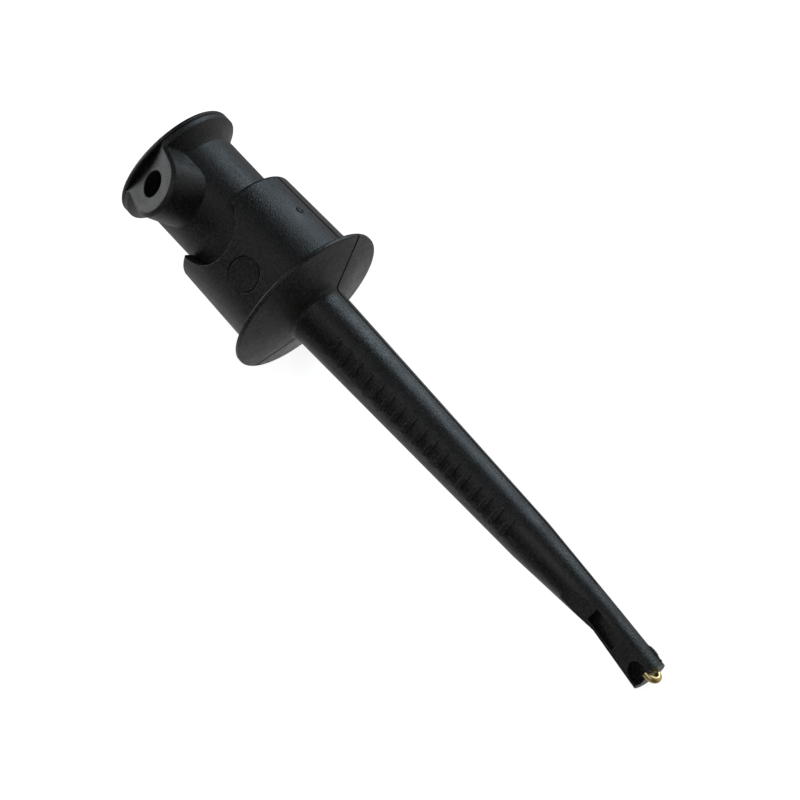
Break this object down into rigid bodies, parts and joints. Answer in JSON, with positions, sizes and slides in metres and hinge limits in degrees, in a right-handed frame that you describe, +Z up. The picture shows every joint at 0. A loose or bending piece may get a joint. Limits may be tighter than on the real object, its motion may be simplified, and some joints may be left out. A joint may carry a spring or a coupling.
{
  "type": "hook test clip",
  "caption": "Slim black plunger-action hook test clip with a thumb plunger, finger flange, slanted wire boss and a gold-plated wire hook.",
  "frame": {"origin": "bottom centre of the bounding box, on the surface that the clip lies on", "axes": "+X along the clip towards the hook tip in plan, +Z up; the clip lies on its finger flange and nose, nose down by about 7 degrees, with the front of the clip turned 45 degrees from +Z towards -Y"},
  "size_m": [0.058, 0.0138, 0.0142],
  "materials": {
    "housing_nylon": "satin glass-filled nylon, black, fine mould grain",
    "plunger_nylon": "satin glass-filled nylon, black",
    "gold_wire": "gold-plated spring wire",
    "brass_parts": "plain turned brass",
    "spring_steel": "bright drawn spring wire"
  },
  "bodies": {
    "barrel": {"front_shell": "housing_nylon", "rear_shell": "housing_nylon", "return_spring": "spring_steel"},
    "plunger": {"plunger_body": "plunger_nylon", "thumb_cap": "plunger_nylon", "contact_hook": "gold_wire", "solder_cup": "brass_parts", "stem_collar": "brass_parts"}
  },
  "joints": [
    {"name": "plunger_press", "type": "slide", "parent": "barrel", "child": "plunger", "axis": [0.9923, 0, -0.1239], "range_m": [0, 0.004], "stiffness_N_per_m": 500, "deforming": ["return_spring"]}
  ]
}
